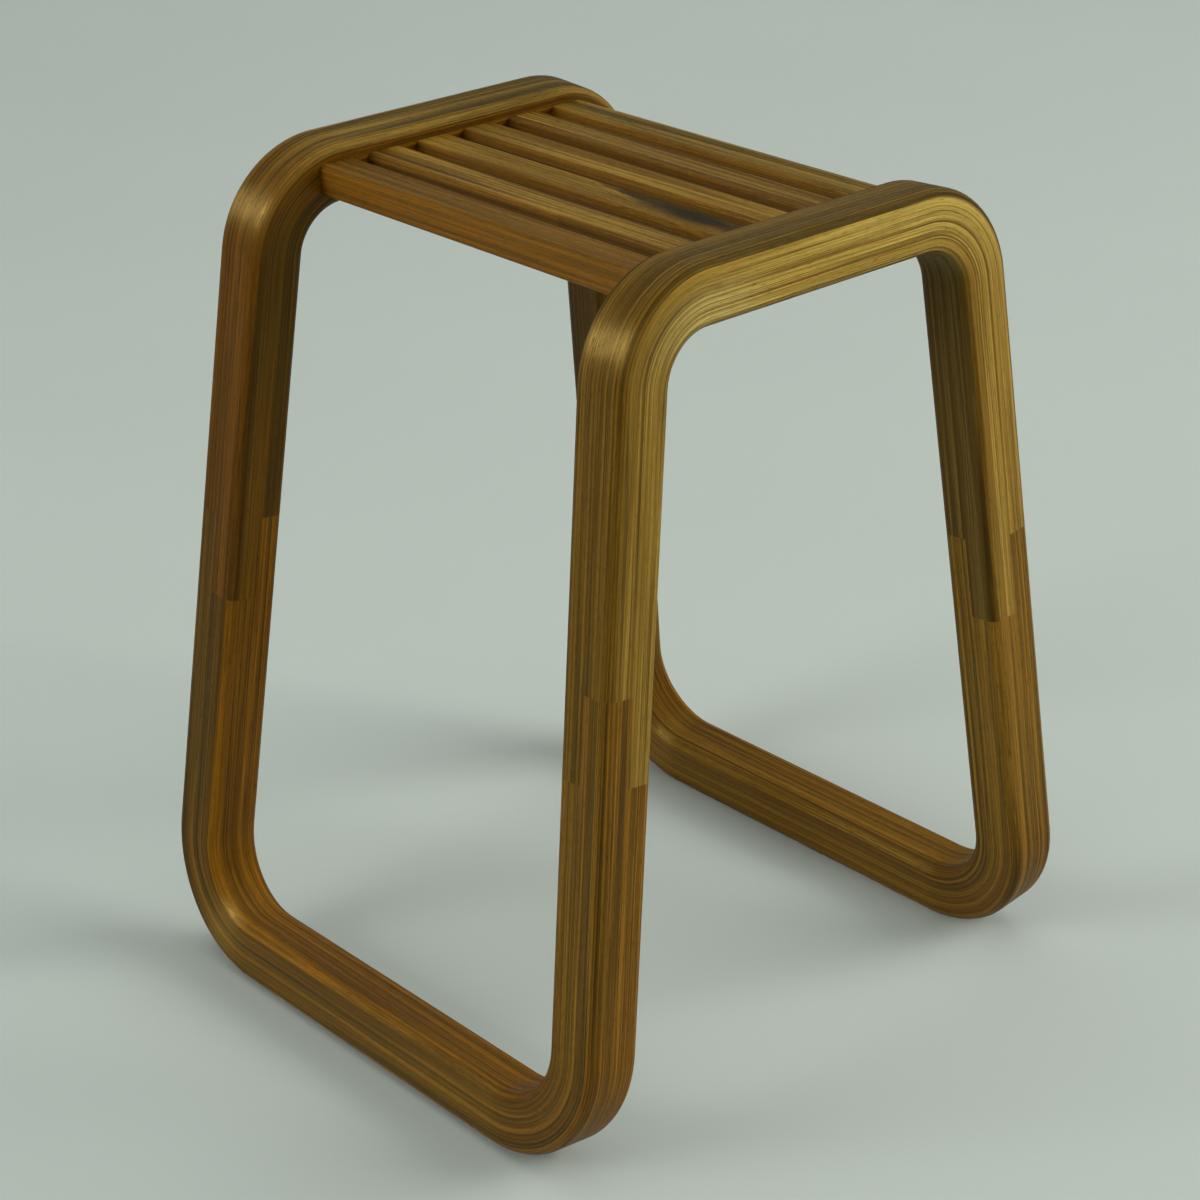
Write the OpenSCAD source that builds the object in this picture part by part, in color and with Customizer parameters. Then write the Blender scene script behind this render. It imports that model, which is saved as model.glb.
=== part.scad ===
// Slatted stool on a frame of four bent-laminated hoops.
// X runs along the seat slats, Y along the two top bars and Z is up.
// The origin is on the floor, under the middle of the seat.
//
// Two upper hoops stand under the ends of the slats, and two lower hoops lie along the
// floor, a quarter turn round. Halfway up each leg, the two hoops that meet there are joined
// by two fingers each, set in opposite quarters of the square leg.

/* [Overall] */
// Height over the two top bars
height = 450; // [430:1:480]
// From the middle to the outside of the frame along X, at the floor
foot_half_x = 175; // [165:1:190]
// From the middle to the outside of the frame along Y, at the floor
foot_half_y = 180; // [172:1:195]
// Inward lean of the two upper hoops, in degrees
lean_x = 3.4; // [2:0.1:5]
// Inward lean of the two lower hoops, in degrees
lean_y = 7.1; // [5:0.1:8]

/* [Hoops] */
// Side of the square section of every hoop
section = 32; // [28:1:34]
// Number of plies glued up in each hoop
ply_count = 8; // [6:2:8]
// Radius worked on the four long edges of each hoop
edge_r = 6; // [3:0.5:6.5]
// Outside radius of the bends at the seat
top_bend_r = 58; // [50:1:62]
// Outside radius of the bends at the floor
floor_bend_r = 69; // [56:1:74]
// Depth sanded off under each lower hoop, so that the stool stands level
foot_flat = 0.6; // [0.3:0.1:1]

/* [Leg joints] */
// Height of the middle of each leg joint
joint_z = 234; // [220:1:250]
// Length of the fingers
finger_l = 45; // [36:1:60]

/* [Seat] */
// Number of slats
slat_count = 6; // [5:1:6]
// Width of a slat
slat_w = 21; // [18:0.5:22]
// Thickness of a slat
slat_t = 16; // [14:0.5:18]
// Open space between two slats
slat_gap = 10; // [6:0.5:10]
// Radius on the four long edges of a slat
slat_edge_r = 2; // [1:0.5:4]
// Depth of the slats below the top bars
seat_drop = 10; // [7:0.5:12]
// Diameter of the dowels that hold the slats
dowel_d = 6; // [5:0.5:7]
// Length of a dowel
dowel_l = 24; // [20:1:30]
// Distance between the two dowels in one end of a slat
dowel_spacing = 10; // [8:0.5:11]

/* [Hidden] */
$fa = 4;
$fs = 0.4;

ply_t = section / ply_count;
half = section / 2;

// Slope of the legs, in units of run for each unit of rise.
run_x = tan(lean_x);
run_y = tan(lean_y);

// The middle of a leg, as distances from the middle of the stool at floor level.
axis_x = foot_half_x - half / cos(lean_x);
axis_y = foot_half_y - half / cos(lean_y);
function leg_x(z) = axis_x - run_x * z;
function leg_y(z) = axis_y - run_y * z;
leg_rise = 1 / norm([run_x, run_y, 1]);

// Angle of the legs inside the plane of each hoop, to the nearest one with a short cosine.
short = 1e6;
function short_cosine(angle) = acos(round(cos(angle) * short) / short);
upper_angle = short_cosine(atan(run_y * cos(lean_x)));
lower_angle = short_cosine(atan(run_x * cos(lean_y)));

// A leaning hoop is highest or lowest on the round of one edge, not on the middle of its bar.
function edge_rise(lean) = (half - edge_r) * sin(lean) + edge_r * (1 - cos(lean));
upper_bar_z = height - edge_rise(lean_x);
lower_bar_z = edge_rise(lean_y) - foot_flat;

// Turn of each bend, the straight half of each bar and the straight part of each leg.
upper_turn = 90 - upper_angle;
lower_turn = 90 + lower_angle;
upper_half_bar = leg_y(upper_bar_z) + half / cos(upper_angle) - top_bend_r * tan(upper_turn / 2);
lower_half_bar = leg_x(lower_bar_z) + half / cos(lower_angle) - floor_bend_r * tan(lower_turn / 2);
upper_leg = (upper_bar_z - joint_z) / leg_rise - finger_l / 2
    - half * tan(upper_angle) - top_bend_r * tan(upper_turn / 2);
lower_leg = (joint_z - lower_bar_z) / leg_rise - finger_l / 2
    + half * tan(lower_angle) - floor_bend_r * tan(lower_turn / 2);

// Seat: where the slats end against the inner faces of the upper hoops.
seat_z = height - seat_drop;
function inner_x(z) = foot_half_x - run_x * z - section / cos(lean_x);
slat_pitch = slat_w + slat_gap;
function slat_y(i) = (i - (slat_count + 1) / 2) * slat_pitch;
dowel_z = seat_z - slat_t / 2;
dowel_end_gap = 0.5;

// Larger than any dimension of the stool, for cutting shapes.
beyond = 2 * height;

// Tones of the plies, from the outside of a hoop inwards.
upper_tones = ["#7a5426", "#b08a45", "#a57f3e", "#bb9650", "#9c7437", "#b48d47", "#a88242", "#80592a"];
lower_tones = ["#6b4a2c", "#7a5632", "#5b3d25", "#84602f", "#634529", "#775330", "#684a2b", "#5d4027"];
slat_tone = "#86643a";
dowel_tone = "#d9bd8b";

PLIES = [1:ply_count];
SLATS = [1:slat_count];
SIDES = ["left", "right"];
ENDS = ["front", "back"];

module rounded_rectangle(w, h, r) {
    translate([r, 0]) square([w - 2 * r, h]);
    translate([0, r]) square([w, h - 2 * r]);
    for (x = [r, w - r], y = [r, h - r])
        translate([x, y]) circle(r);
}

// Section of one ply: x is its distance from the centre of the bend, y goes across the hoop.
// Ply 1 is on the outside. share is [from, to] across the hoop, where [-1, 1] is the whole.
// The band that cuts it out runs past the section wherever the section itself is the edge.
module ply_section(bend_r, ply, share = [-1, 1]) {
    inside = ply == ply_count ? edge_r : 0;
    outside = ply == 1 ? edge_r : 0;
    intersection() {
        translate([bend_r - section, -half]) rounded_rectangle(section, section, edge_r);
        translate([bend_r - ply * ply_t - inside, share[0] * section])
            square([ply_t + inside + outside, (share[1] - share[0]) * section]);
    }
}

// The centre of the bend at the +X end of a hoop.
module at_bend(half_bar, bend_r)
    translate([half_bar, -bend_r, 0]) children();

// Turned about that centre so that -Y runs down the leg.
module along_leg(turn)
    rotate([0, 0, 90 - turn]) children();

module both_ends() {
    children();
    mirror([1, 0, 0]) children();
}

// A hoop lies in its XY plane with the outside of its bar on Y = 0 and its legs going down.
module ply_bar(half_bar, bend_r, ply)
    translate([0, -bend_r, 0]) rotate([0, 0, 90]) rotate([90, 0, 0])
        linear_extrude(half_bar) ply_section(bend_r, ply);

// A ring, trimmed square to the bar on one side and square to the leg on the other.
module ply_bend(half_bar, bend_r, turn, ply)
    at_bend(half_bar, bend_r)
        intersection() {
            rotate_extrude() ply_section(bend_r, ply);
            translate([0, -beyond / 2, -section]) cube([beyond, beyond, 2 * section]);
            along_leg(turn)
                translate([-beyond / 2, 0, -section]) cube([beyond, beyond, 2 * section]);
        }

module ply_leg(half_bar, bend_r, turn, leg, ply)
    at_bend(half_bar, bend_r) along_leg(turn) rotate([90, 0, 0])
        linear_extrude(leg) ply_section(bend_r, ply);

module ply_finger(half_bar, bend_r, turn, leg, ply, share)
    at_bend(half_bar, bend_r) along_leg(turn) rotate([90, 0, 0]) translate([0, 0, leg])
        linear_extrude(finger_l) ply_section(bend_r, ply, share);

module ply_hoop(half_bar, bend_r, turn, leg, ply)
    both_ends() {
        ply_bar(half_bar, bend_r, ply);
        ply_bend(half_bar, bend_r, turn, ply);
        ply_leg(half_bar, bend_r, turn, leg, ply);
    }

// Places of the hoops: Z across the hoop points to the outside of the stool.
module place_upper(side)
    mirror([side == "left" ? 1 : 0, 0, 0])
        translate([leg_x(upper_bar_z), 0, upper_bar_z])
            rotate([0, -lean_x, 0]) rotate([90, 0, 90]) children();

module place_lower(end)
    mirror([0, end == "front" ? 1 : 0, 0])
        translate([0, leg_y(lower_bar_z), lower_bar_z])
            rotate([lean_y, 0, 0]) rotate([-90, 0, 0]) children();

// The outer or the inner quarter of the leg on the +X +Y corner, round the joint.
module leg_quarter(outer)
    translate([leg_x(joint_z), leg_y(joint_z), joint_z])
        rotate([0, -lean_x, 0]) rotate([upper_angle, 0, 0])
            translate([outer ? 0 : -section, outer ? 0 : -section, -finger_l])
                cube([section, section, 2 * finger_l]);

// Every dowel, or its hole, which is a little longer at both ends.
module dowels(extra = 0)
    for (i = SLATS, offset = [-0.5, 0.5])
        both_ends()
            translate([inner_x(dowel_z), slat_y(i) + offset * dowel_spacing, dowel_z])
                rotate([0, 90, 0])
                    cylinder(h = dowel_l + 2 * extra, d = dowel_d, center = true);

// The outer plies of an upper hoop run into fingers on the inner half of the leg,
// and its inner plies into fingers on the outer half.
module upper_ply(side, ply)
    color(upper_tones[ply - 1])
        difference() {
            place_upper(side) {
                ply_hoop(upper_half_bar, top_bend_r, upper_turn, upper_leg, ply);
                both_ends()
                    ply_finger(upper_half_bar, top_bend_r, upper_turn, upper_leg, ply,
                        ply <= ply_count / 2 ? [-1, 0] : [0, 1]);
            }
            dowels(dowel_end_gap);
        }

// The fingers of a lower hoop fill the other two quarters. The outermost ply has the foot flat.
module lower_ply(end, ply)
    color(lower_tones[ply - 1])
        difference() {
            union() {
                place_lower(end)
                    ply_hoop(lower_half_bar, floor_bend_r, lower_turn, lower_leg, ply);
                mirror([0, end == "front" ? 1 : 0, 0])
                    both_ends()
                        intersection() {
                            place_lower("back")
                                ply_finger(lower_half_bar, floor_bend_r, lower_turn, lower_leg, ply,
                                    [-1, 1]);
                            leg_quarter(ply <= ply_count / 2);
                        }
            }
            if (ply == 1)
                translate([-beyond / 2, -beyond / 2, -section]) cube([beyond, beyond, section]);
        }

// The ends of the slats follow the lean of the upper hoops.
module seat_slat(i)
    color(slat_tone)
        difference() {
            intersection() {
                translate([-beyond / 2, slat_y(i) - slat_w / 2, seat_z - slat_t])
                    rotate([90, 0, 90])
                        linear_extrude(beyond) rounded_rectangle(slat_w, slat_t, slat_edge_r);
                rotate([90, 0, 0])
                    linear_extrude(beyond, center = true)
                        polygon([
                            [-inner_x(0), 0],
                            [inner_x(0), 0],
                            [inner_x(height), height],
                            [-inner_x(height), height]
                        ]);
            }
            dowels(dowel_end_gap);
        }

module slat_dowels()
    color(dowel_tone) dowels();

for (side = SIDES, ply = PLIES)
    upper_ply(side, ply);
for (end = ENDS, ply = PLIES)
    lower_ply(end, ply);
for (i = SLATS)
    seat_slat(i);
slat_dowels();
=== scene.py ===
"""Looks for a slatted bentwood stool: wood that follows every bend, soft studio light and a pale floor."""

import math

import bpy
from mathutils import Matrix, Vector

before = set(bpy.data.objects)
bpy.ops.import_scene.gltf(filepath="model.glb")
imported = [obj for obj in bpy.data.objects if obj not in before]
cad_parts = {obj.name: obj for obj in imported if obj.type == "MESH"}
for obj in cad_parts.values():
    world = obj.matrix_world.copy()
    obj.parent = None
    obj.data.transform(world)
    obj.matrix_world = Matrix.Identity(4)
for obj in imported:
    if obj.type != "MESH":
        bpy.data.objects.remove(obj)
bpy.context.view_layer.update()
scene = bpy.context.scene

# The stool's own dimensions, in millimetres, as in the CAD source.
HEIGHT, SECTION, PLIES, EDGE = 450, 32, 8, 6
LEAN_X, LEAN_Y = math.radians(3.4), math.radians(7.1)
FOOT_X, FOOT_Y, FOOT_FLAT = 175, 180, 0.6
TOP_BEND, FLOOR_BEND = 58, 69
SLATS, SLAT_PITCH, SEAT_Z, SLAT_W = 6, 31, 440, 21
HALF, PLY = SECTION / 2, SECTION / PLIES
RUN_X, RUN_Y = math.tan(LEAN_X), math.tan(LEAN_Y)
MM_PER_M = (1000, 1000, 1000)


# Colours

def rgb(hex_code):
    """A colour as painters write it, in the linear values that the shader takes."""
    parts = [int(hex_code[k:k + 2], 16) / 255 for k in (0, 2, 4)]
    return tuple(c / 12.92 if c <= 0.04045 else ((c + 0.055) / 1.055) ** 2.4 for c in parts) + (1.0,)


def shade(colour, k):
    return tuple(c * k for c in colour[:3]) + (1.0,)


GOLD, HONEY, SAGE = rgb("bfa450"), rgb("a07c30"), rgb("8c6e30")
BROWN, RUST, EMBER, COCOA = rgb("7e5818"), rgb("885812"), rgb("7c4903"), rgb("69490f")
UMBER, SMOKE, INK = rgb("52350d"), rgb("36270f"), rgb("0b0c0f")
# The pale cream on the next line is a painted highlight for a bend of the right hoop.
OLIVE, MOSS, PAINTED_HIGHLIGHT, SIENNA = rgb("7c602a"), rgb("4a3a17"), rgb("d8c47a"), rgb("824e02")
# The right leg's brown on the next line is partly its own tone and partly painted shade.
LEFT_LEG, RIGHT_LEG_TONE_AND_SHADE = rgb("6c3c00"), rgb("7a5410")
PAPER_LIGHT, PAPER_DARK = rgb("c2cac4"), rgb("bec6c0")
SHINE = (1.0, 0.69, 0.16, 1.0)

# Light and dark tone of the figure in each ply, from the outside of a hoop inwards, and in each slat.
PLY_TONES = {
    "right": [(OLIVE, MOSS), (GOLD, HONEY), (GOLD, HONEY), (GOLD, BROWN),
              (GOLD, HONEY), (GOLD, BROWN), (GOLD, HONEY), (GOLD, BROWN)],
    "left": [(SAGE, MOSS), (RUST, UMBER), (RUST, UMBER), (EMBER, COCOA),
             (EMBER, UMBER), (COCOA, SMOKE), (COCOA, UMBER), (COCOA, UMBER)],
    "front": [(RUST, UMBER), (BROWN, SMOKE), (COCOA, UMBER), (BROWN, UMBER),
              (COCOA, SMOKE), (BROWN, UMBER), (COCOA, UMBER), (RUST, UMBER)],
    "back": [(RUST, UMBER), (COCOA, UMBER), (BROWN, UMBER), (COCOA, UMBER),
             (BROWN, COCOA), (COCOA, UMBER), (BROWN, UMBER), (BROWN, UMBER)],
}
SLAT_TONES = [(BROWN, UMBER), (HONEY, UMBER), (HONEY, COCOA),
              (HONEY, COCOA), (HONEY, UMBER), (HONEY, MOSS)]
DOWEL_TONES = rgb("c9a566"), rgb("a9834a")
KNOT_SLAT, DARK_SIDE_SLAT = 3, 2

# Where each timber is cut from the noise, so that no two pieces share their figure.
HOOP_SEEDS = {"right": 10.4, "left": 25.9, "back": 40.2, "front": 55.7}
SLAT_SEED, SLAT_SEED_STEP, DOWEL_SEED = 70, 3.7, 90.5
SEED_ALONG, SEED_THROUGH = 613.7, 47.3
SECOND_TIMBER = 4000.0  # a further shift along the grain for the left and front hoops


# Geometry of the hoops, as in the CAD source

def edge_rise(lean):
    """How far a leaning bar's rounded edge stands past the middle of its outside face."""
    return (HALF - EDGE) * math.sin(lean) + EDGE * (1 - math.cos(lean))


def leg_x(z):
    """Middle of the section along X at this height."""
    return FOOT_X - HALF / math.cos(LEAN_X) - RUN_X * z


def leg_y(z):
    """Middle of the section along Y at this height."""
    return FOOT_Y - HALF / math.cos(LEAN_Y) - RUN_Y * z


def hoop_shape(upper):
    """Origin, axes, straight half of the bar, bend radius and turn of a hoop on the positive side."""
    if upper:
        bar_z = HEIGHT - edge_rise(LEAN_X)
        angle = math.atan(RUN_Y * math.cos(LEAN_X))
        turn, bend, reach = math.pi / 2 - angle, TOP_BEND, leg_y(bar_z)
        s, c = math.sin(LEAN_X), math.cos(LEAN_X)
        origin, axes = (leg_x(bar_z), 0, bar_z), ((0, 1, 0), (-s, 0, c), (c, 0, s))
    else:
        bar_z = edge_rise(LEAN_Y) - FOOT_FLAT
        angle = math.atan(RUN_X * math.cos(LEAN_Y))
        turn, bend, reach = math.pi / 2 + angle, FLOOR_BEND, leg_x(bar_z)
        s, c = math.sin(LEAN_Y), math.cos(LEAN_Y)
        origin, axes = (0, leg_y(bar_z), bar_z), ((1, 0, 0), (0, s, -c), (0, c, s))
    half_bar = reach + HALF / math.cos(angle) - bend * math.tan(turn / 2)
    return origin, axes, half_bar, bend, turn


# Shader building

class Graph:
    """Short names for the nodes of one shader or group."""

    def __init__(self, tree):
        self.tree = tree

    def set(self, socket, value):
        """Links another node's output to a socket, or writes a constant on it."""
        if isinstance(value, bpy.types.NodeSocket):
            self.tree.links.new(value, socket)
        else:
            socket.default_value = value

    def add(self, kind, inputs=None, **props):
        node = self.tree.nodes.new(kind)
        for name, value in props.items():
            setattr(node, name, value)
        for name, value in (inputs or {}).items():
            self.set(node.inputs[name], value)
        return node

    def math(self, op, *args):
        return self.add("ShaderNodeMath", dict(enumerate(args)), operation=op).outputs[0]

    def plus(self, a, b):
        return self.math("ADD", a, b)

    def minus(self, a, b):
        return self.math("SUBTRACT", a, b)

    def times(self, a, b):
        return self.math("MULTIPLY", a, b)

    def over(self, a, b):
        return self.math("DIVIDE", a, b)

    def abs(self, a):
        return self.math("ABSOLUTE", a)

    def vec(self, op, *args):
        node = self.add("ShaderNodeVectorMath", dict(enumerate(args)), operation=op)
        return node.outputs["Value" if op == "DOT_PRODUCT" else "Vector"]

    def scaled(self, v, k):
        return self.add("ShaderNodeVectorMath", {0: v, "Scale": k}, operation="SCALE").outputs["Vector"]

    def xyz(self, x, y, z):
        return self.add("ShaderNodeCombineXYZ", {0: x, 1: y, 2: z}).outputs[0]

    def split(self, v):
        return self.add("ShaderNodeSeparateXYZ", {0: v}).outputs

    def here(self):
        """The shaded point in the stool's own frame, in millimetres."""
        return self.vec("MULTIPLY", self.add("ShaderNodeTexCoord").outputs["Object"], MM_PER_M)

    def ramp(self, x, lo, hi, to_lo=0.0, to_hi=1.0, smooth=True):
        """to_lo where x is at lo, to_hi where it is at hi, and held past both ends."""
        return self.add("ShaderNodeMapRange", {0: x, 1: lo, 2: hi, 3: to_lo, 4: to_hi},
                        interpolation_type="SMOOTHSTEP" if smooth else "LINEAR").outputs[0]

    def band(self, x, centre, half_width):
        """1 within 0.6 of half_width of a place, falling to 0 at 1.5 of it."""
        return self.ramp(self.abs(self.minus(x, centre)), half_width * 1.5, half_width * 0.6)

    def noise(self, v, detail=2.0, rough=0.5):
        settings = {"Vector": v, "Scale": 1.0, "Detail": detail, "Roughness": rough}
        return self.add("ShaderNodeTexNoise", settings).outputs["Fac"]

    def mix(self, fac, a, b, blend="MIX"):
        node = self.add("ShaderNodeMix", data_type="RGBA", blend_type=blend)
        for index, value in ((0, fac), (6, a), (7, b)):
            self.set(node.inputs[index], value)
        return node.outputs[2]


def new_group(name, inputs, outputs):
    """A node group whose sockets are floats, apart from an output called Grain, which is a vector."""
    tree = bpy.data.node_groups.new(name, "ShaderNodeTree")
    for socket in inputs:
        tree.interface.new_socket(socket, in_out="INPUT", socket_type="NodeSocketFloat")
    for socket in outputs:
        kind = "NodeSocketVector" if socket == "Grain" else "NodeSocketFloat"
        tree.interface.new_socket(socket, in_out="OUTPUT", socket_type=kind)
    g = Graph(tree)
    return g, g.add("NodeGroupInput").outputs, g.add("NodeGroupOutput").inputs


def new_material(name):
    mat = bpy.data.materials.new(name)
    mat.use_nodes = True
    bsdf = next(n for n in mat.node_tree.nodes if n.type == "BSDF_PRINCIPLED")
    return mat, Graph(mat.node_tree), bsdf.inputs


def path_group(name, upper):
    """Grain direction, place along a hoop from its bar's middle, depth below its outside, place across it."""
    origin, (e_u, e_v, e_w), half_bar, bend, turn = hoop_shape(upper)
    g, _, out = new_group(name, [], ["Grain", "Along", "Depth", "Across"])
    here = g.here()
    x, y, z = g.split(here)
    folded = g.xyz(g.abs(x), y, z) if upper else g.xyz(x, g.abs(y), z)
    unfold = g.xyz(g.math("SIGN", x), 1.0, 1.0) if upper else g.xyz(1.0, g.math("SIGN", y), 1.0)
    point = g.vec("SUBTRACT", folded, origin)
    u, v, w = (g.vec("DOT_PRODUCT", point, e) for e in (e_u, e_v, e_w))
    end = g.math("SIGN", u)
    # From the centre of the nearer bend, where the turn runs from 0 on the bar to its full angle on the leg.
    d_u, d_v = g.minus(g.abs(u), half_bar), g.plus(v, bend)
    theta = g.math("MINIMUM", g.math("MAXIMUM", g.math("ARCTAN2", d_u, d_v), 0.0), turn)
    cosine, sine = g.math("COSINE", theta), g.math("SINE", theta)
    radial = g.plus(g.times(d_u, sine), g.times(d_v, cosine))
    down_leg = g.minus(g.times(d_u, math.cos(turn)), g.times(d_v, math.sin(turn)))
    on_bar = g.plus(g.math("MINIMUM", d_u, 0.0), half_bar)
    past_bar = g.plus(g.times(theta, bend - HALF), g.math("MAXIMUM", down_leg, 0.0))
    grain = g.vec("SUBTRACT", g.scaled(e_u, g.times(cosine, end)), g.scaled(e_v, sine))
    g.set(out["Along"], g.times(g.plus(on_bar, past_bar), end))
    g.set(out["Depth"], g.minus(bend, radial))
    g.set(out["Across"], w)
    g.set(out["Grain"], g.vec("MULTIPLY", grain, unfold))
    return g.tree


def wood_group():
    """Figure, fibre, dark streak and pore patterns of teak, from the place in the wood in millimetres.

    The growth rings are sheets of noise that lie nearly level in a ply. Spread tilts them across it.
    """
    g, into, out = new_group("Wood", ["Along", "Depth", "Across", "Seed", "Spread"],
                             ["Figure", "Fibre", "Streak", "Pore"])
    across = into["Across"]
    along = g.plus(into["Along"], g.times(into["Seed"], SEED_ALONG))
    depth = g.plus(into["Depth"], g.times(into["Seed"], SEED_THROUGH))

    def field(length, width, thickness, **kind):
        """Noise with features of this size along, across and through the wood."""
        return g.noise(g.vec("DIVIDE", g.xyz(along, across, depth), (length, width, thickness)), **kind)

    def layers(thickness, length, plane, **kind):
        """Noise that changes through the growth rings and slowly along them."""
        return g.noise(g.xyz(g.over(ring, thickness), g.over(along, length), plane), **kind)

    warp = g.times(g.minus(field(520, 34, 20, detail=1.0), 0.5), 7)
    ring = g.plus(g.plus(depth, warp), g.times(across, into["Spread"]))
    broad = g.times(g.minus(field(260, 12, 7, detail=1.0), 0.5), 0.3)
    figure = g.plus(layers(1.5, 700, 0.0, detail=5.0, rough=0.75), broad)
    fibre = field(80, 0.8, 0.8, detail=4.0, rough=0.75)
    streak = layers(2.2, 260, 3.7, detail=4.0, rough=0.65)
    pore = field(6.0, 0.32, 0.32, detail=1.0)
    g.set(out["Figure"], g.ramp(figure, 0.4, 0.61))
    g.set(out["Fibre"], g.ramp(fibre, 0.33, 0.67, smooth=False))
    g.set(out["Streak"], g.ramp(streak, 0.55, 0.63))
    g.set(out["Pore"], g.ramp(pore, 0.6, 0.68))
    return g.tree


PATTERNS = wood_group()
UPPER_PATH, LOWER_PATH = path_group("UpperPath", True), path_group("LowerPath", False)


# Wood

BASE_ROUGHNESS = 0.51
FIBRE_TONES = 0.62, 1.34  # how much the darkest and the lightest fibres change the colour
BUMP_DEPTH = 0.00025  # metres


def wood_material(name, coords, seed, tones, streak=SMOKE, spread=0.9, streak_amount=0.6):
    """coords gives along, depth, across, grain direction and the extra tints as (mask, colour, amount)."""
    mat, g, surface = new_material(name)
    along, depth, across, grain, tints = coords(g)
    light, dark = tones
    pore_colour = shade(dark, 0.35)
    for mask, tint, amount in tints:
        share = g.times(mask, amount)
        light, dark = g.mix(share, light, tint), g.mix(share, dark, shade(tint, 0.5))

    wood = g.add("ShaderNodeGroup", node_tree=PATTERNS)
    for socket, value in (("Along", along), ("Depth", depth), ("Across", across),
                          ("Seed", seed), ("Spread", spread)):
        g.set(wood.inputs[socket], value)
    figure, fibre, streaks, pore = (wood.outputs[k] for k in ("Figure", "Fibre", "Streak", "Pore"))

    colour = g.mix(figure, dark, light)
    colour = g.mix(g.times(streaks, streak_amount), colour, streak)
    tone = g.ramp(fibre, 0.0, 1.0, *FIBRE_TONES, smooth=False)
    grey = g.add("ShaderNodeCombineColor", {0: tone, 1: tone, 2: tone}).outputs[0]
    colour = g.mix(1.0, colour, grey, "MULTIPLY")
    colour = g.mix(g.times(pore, 0.45), colour, pore_colour)
    rough = g.plus(g.times(fibre, -0.14), g.times(pore, 0.2))
    height = g.minus(g.times(fibre, 0.35), pore)
    bump = g.add("ShaderNodeBump", {"Height": height, "Strength": 0.6, "Distance": BUMP_DEPTH})

    g.set(surface["Base Color"], colour)
    g.set(surface["Roughness"], g.plus(rough, BASE_ROUGHNESS))
    g.set(surface["Normal"], bump.outputs[0])
    # Wood fibres shine across their run and in their own colour.
    g.set(surface["Tangent"], grain)
    surface["Anisotropic"].default_value = 0.85
    surface["Anisotropic Rotation"].default_value = 0.25
    surface["Specular IOR Level"].default_value = 0.25
    surface["Specular Tint"].default_value = SHINE
    return mat


# The tints below are placed in millimetres. A run is counted from the middle of a bar. It is negative
# towards the near end of an upper hoop and the left end of a lower one.

def left_hoop_tints(g, run, depth, across):
    """A dark stripe down to the near leg's joint, and a leg that is amber outside and brown on its sides."""
    near_leg = g.ramp(run, -60, -130)
    stripe = g.times(g.band(depth, 5.5, 2.0), g.ramp(across, 7 - HALF, 4 - HALF))
    return [(g.times(stripe, g.ramp(run, -150, -200)), INK, 0.85),
            (g.times(near_leg, g.ramp(depth, 7, 2)), LEFT_LEG, 0.85),
            (g.times(near_leg, g.ramp(depth, 2, 7)), COCOA, 0.7)]


def right_hoop_tints(g, run, depth, across):
    """A painted highlight inside the near bend, and a darker brown near leg, partly its own tone and partly
    painted shade.
    """
    patch = g.times(g.ramp(run, -20, -75), g.ramp(run, -150, -105))
    # The pale golden patch inside the near bend is a painted highlight, where the bend's fibres catch the
    # light.
    return [(g.times(patch, g.ramp(depth, 6, 18)), PAINTED_HIGHLIGHT, 0.4),
            # The near leg is darker: partly its own browner tone, partly painted shade for the sheen that
            # only the bar catches.
            (g.ramp(run, -60, -130), RIGHT_LEG_TONE_AND_SHADE, 0.65)]


def front_hoop_tints(g, run, depth, across):
    """A warmer right leg with a thin dark line by its edge, and a left leg that is darker except inside."""
    line = g.times(g.band(depth, 1.8, 0.5), g.ramp(across, HALF - 8, HALF - 5))
    left_leg = g.times(g.ramp(run, -130, -230), g.ramp(depth, SECTION - 2, SECTION - 4))
    return [(g.ramp(run, 130, 230), HONEY, 0.2),
            (g.times(line, g.ramp(run, 150, 240)), SMOKE, 0.7),
            (left_leg, SMOKE, 0.3)]


def back_hoop_tints(g, run, depth, across):
    """A warmer right leg."""
    return [(g.ramp(run, 130, 230), HONEY, 0.4)]


HOOP_TINTS = {"left": left_hoop_tints, "right": right_hoop_tints,
              "front": front_hoop_tints, "back": back_hoop_tints}


def hoop_coords(place, dark):
    """Coordinates along a hoop, with its tints, some of them painted shade and a painted highlight, and the
    glue lines between its plies.
    """
    upper = place in ("left", "right")

    def build(g):
        path = g.add("ShaderNodeGroup", node_tree=UPPER_PATH if upper else LOWER_PATH).outputs
        run, depth, across = path["Along"], path["Depth"], path["Across"]
        to_glue = g.math("PINGPONG", g.plus(depth, PLY * 4), PLY / 2)
        on_side = g.ramp(g.abs(across), HALF - 2, HALF - 0.5)
        tints = [(g.times(g.ramp(to_glue, 0.22, 0.05), on_side), shade(dark, 0.5), 0.35)]
        tints += HOOP_TINTS[place](g, run, depth, across)
        # Upper hoops: a redder far leg. The inner face is darkened partly for its own darker wood and partly
        # as painted shade, since it faces away from the light.
        if upper:  # a redder far leg and a dark inner face
            tints += [(g.ramp(run, 75, 150), RUST, 0.5),
                      (g.ramp(depth, SECTION - 2.6, SECTION - 0.6), SMOKE, 0.72)]
        along = g.plus(run, SECOND_TIMBER if place in ("left", "front") else 0.0)
        return along, depth, across, path["Grain"], tints
    return build


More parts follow.
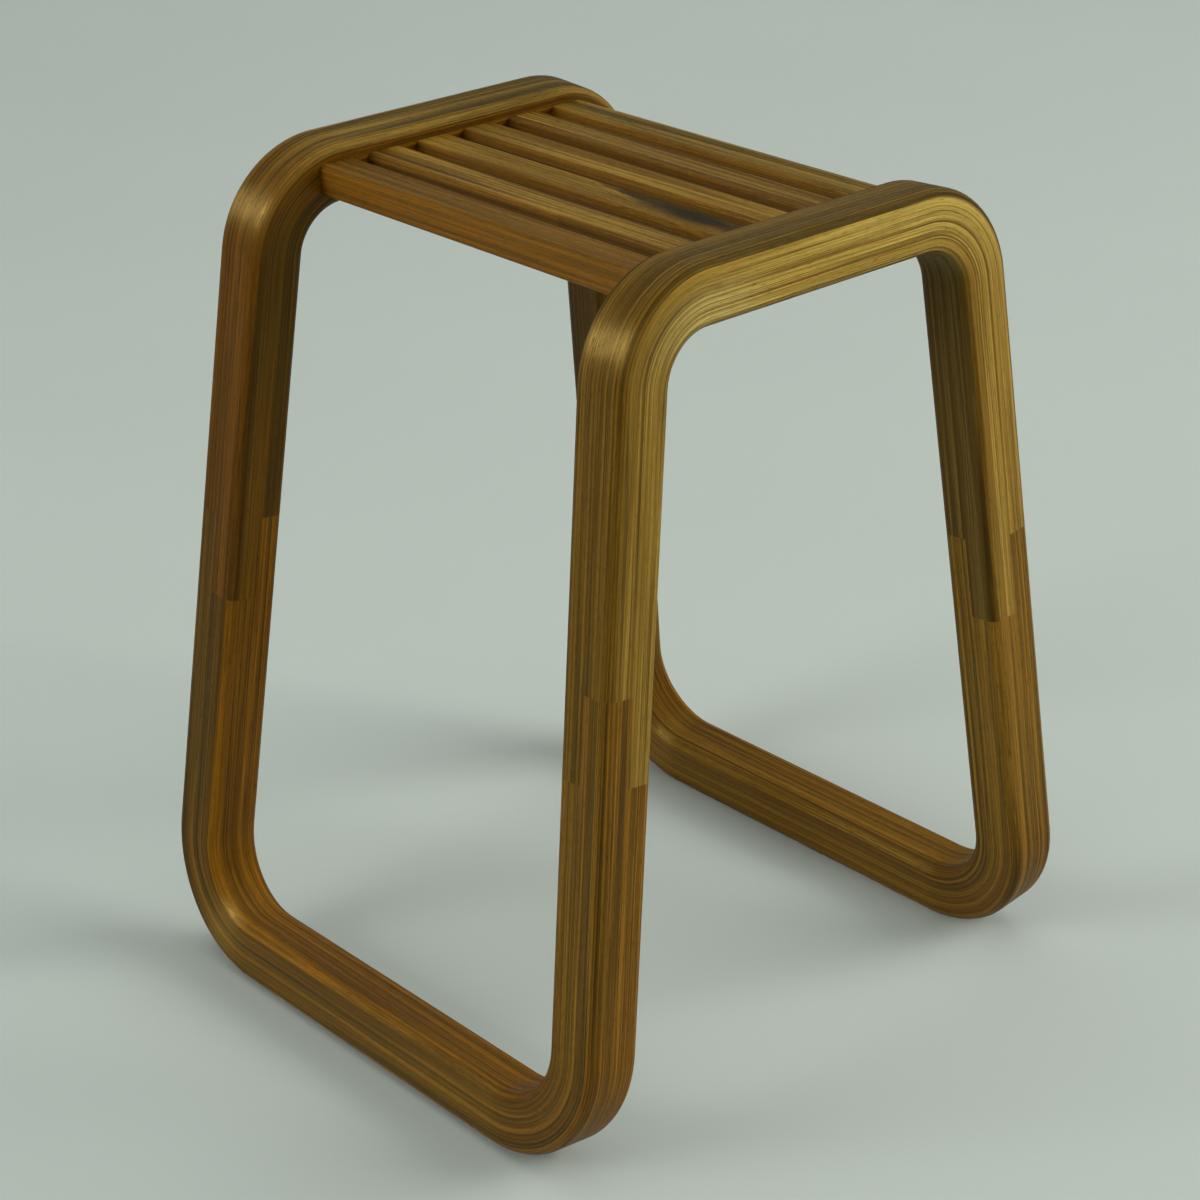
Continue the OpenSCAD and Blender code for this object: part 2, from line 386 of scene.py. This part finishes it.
def slat_coords(index):
    """Coordinates along a slat, with its redder sides, the knot of one slat and the dark side of another."""
    def build(g):
        here = g.here()
        x, y, z = g.split(here)
        centre = (index - (SLATS + 1) / 2) * SLAT_PITCH
        across, depth = g.minus(y, centre), g.minus(SEAT_Z, z)
        side = g.ramp(g.abs(across), SLAT_W / 2 - 2.6, SLAT_W / 2 - 0.8)
        tints = [(side, SIENNA, 0.75)]

        def oval(centre_x, centre_y, radius_x, radius_y):
            """0 at the middle of an oval patch and 1 on its edge, with a ragged outline."""
            rough = g.noise(g.vec("DIVIDE", here, (14, 3.5, 6)), detail=3.0)
            dx = g.over(g.minus(x, centre_x), radius_x)
            dy = g.over(g.minus(across, centre_y), radius_y)
            far = g.math("SQRT", g.plus(g.times(dx, dx), g.times(dy, dy)))
            return g.plus(far, g.times(g.minus(rough, 0.5), 1.1))

        if index == KNOT_SLAT:
            knot, tail = oval(76, 4.5, 32, 7.2), oval(42, 7.5, 36, 4.4)
            depth = g.plus(depth, g.ramp(knot, 2.6, 0.0, 0.0, 9.0))  # the rings swirl round the knot
            tints += [(g.ramp(tail, 1.2, 0.6), SMOKE, 0.95),
                      (g.ramp(knot, 1.9, 0.8), SMOKE, 0.7),
                      (g.ramp(knot, 1.05, 0.45), INK, 0.95)]
        if index == DARK_SIDE_SLAT:
            tints.append((g.times(side, g.ramp(x, 26, 30)), UMBER, 0.5))
        return x, depth, across, g.xyz(1.0, 0.0, 0.0), tints
    return build


for name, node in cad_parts.items():
    words = name.split("_")
    if words[1] == "hoop":
        place, ply = words[2], int(words[-1])
        tones = PLY_TONES[place][ply - 1]
        mat = wood_material("Wood_" + name, hoop_coords(place, tones[1]), HOOP_SEEDS[place] + ply, tones)
    elif words[0] == "seat":
        index = int(words[-1])
        mat = wood_material("Wood_" + name, slat_coords(index), SLAT_SEED + SLAT_SEED_STEP * index,
                            SLAT_TONES[index - 1], spread=0.6, streak_amount=0.35)
    else:
        mat = wood_material("Wood_dowels", slat_coords(1), DOWEL_SEED, DOWEL_TONES, streak=UMBER)
    for slot in node.material_slots:
        slot.material = mat


# Floor, in metres

FLOOR_HALF = 9.0
floor_mesh = bpy.data.meshes.new("Floor")
corners = [(-FLOOR_HALF, -FLOOR_HALF, 0), (FLOOR_HALF, -FLOOR_HALF, 0),
           (FLOOR_HALF, FLOOR_HALF, 0), (-FLOOR_HALF, FLOOR_HALF, 0)]
floor_mesh.from_pydata(corners, [], [(0, 1, 2, 3)])
floor = bpy.data.objects.new("Floor", floor_mesh)
scene.collection.objects.link(floor)
paper, paper_graph, paper_surface = new_material("Paper")
paper_place = paper_graph.add("ShaderNodeTexCoord").outputs["Object"]
mottle = paper_graph.noise(paper_graph.vec("MULTIPLY", paper_place, (3, 3, 3)))
paper_graph.set(paper_surface["Base Color"], paper_graph.mix(mottle, PAPER_DARK, PAPER_LIGHT))
paper_surface["Roughness"].default_value = 1.0
paper_surface["Specular IOR Level"].default_value = 0.0
floor_mesh.materials.append(paper)


# Light, in metres and watts

DAYLIGHT, SUNNY, LAMP = (0.98, 1.0, 0.98), (1.0, 0.99, 0.95), (1.0, 0.97, 0.9)


def area_light(name, place, size, watts, colour, aim=(0, 0, 0.25), spread=180, glossy=False, diffuse=True):
    """A square soft box. Only a glossy one is mirrored in the wood, and only a diffuse one lights it."""
    data = bpy.data.lights.new(name, "AREA")
    data.shape, data.size, data.energy, data.color = "SQUARE", size, watts, colour
    data.spread = math.radians(spread)
    light = bpy.data.objects.new(name, data)
    light.location = place
    light.rotation_mode = "QUATERNION"
    light.rotation_quaternion = (Vector(aim) - Vector(place)).to_track_quat("-Z", "Y")
    light.visible_glossy, light.visible_diffuse = glossy, diffuse
    scene.collection.objects.link(light)


def overhead_light(energy, angle, colour):
    """Even light from straight above, with soft shadows."""
    data = bpy.data.lights.new("Overhead", "SUN")
    data.energy, data.angle, data.color = energy, math.radians(angle), colour
    light = bpy.data.objects.new("Overhead", data)
    light.visible_glossy = False
    scene.collection.objects.link(light)


area_light("Key", (3.15, 3.15, 2.6), 3.15, 93, SUNNY, spread=120)
area_light("Behind", (-2.6, 2.4, 2.2), 2.4, 12, DAYLIGHT, aim=(-3.2, 3.0, 0))
area_light("Fill", (-1.1, -3.3, 1.5), 1.8, 27, DAYLIGHT, spread=120)
area_light("Sheen", (-0.75, -2.1, 1.7), 0.9, 170, LAMP, glossy=True, diffuse=False)
overhead_light(0.64, 60, DAYLIGHT)

world = bpy.data.worlds.new("Studio")
scene.world = world
world.use_nodes = True
sky = next(n for n in world.node_tree.nodes if n.type == "BACKGROUND")
sky.inputs["Color"].default_value = (0.72, 0.78, 0.75, 1)
sky.inputs["Strength"].default_value = 0.3
scene.view_settings.view_transform = "Standard"


# Camera, in metres

AZIMUTH, ELEVATION, ROLL = math.radians(47.972), math.radians(25.372), math.radians(-0.713)
TARGET, DISTANCE = Vector((-0.01787, 0.0087, 0.19978)), 1.5308

level = math.cos(ELEVATION)
back = Vector((math.sin(AZIMUTH) * level, -math.cos(AZIMUTH) * level, math.sin(ELEVATION)))
right = Vector((math.cos(AZIMUTH), math.sin(AZIMUTH), 0))
up = back.cross(right)
rolled_right = right * math.cos(ROLL) + up * math.sin(ROLL)
rolled_up = up * math.cos(ROLL) - right * math.sin(ROLL)
turned = Matrix((rolled_right, rolled_up, back)).transposed()
camera = bpy.data.objects.new("Camera", bpy.data.cameras.new("Camera"))
scene.collection.objects.link(camera)
camera.matrix_world = Matrix.Translation(TARGET + back * DISTANCE) @ turned.to_4x4()
camera.data.sensor_width = 36
camera.data.lens = 85.47
scene.camera = camera
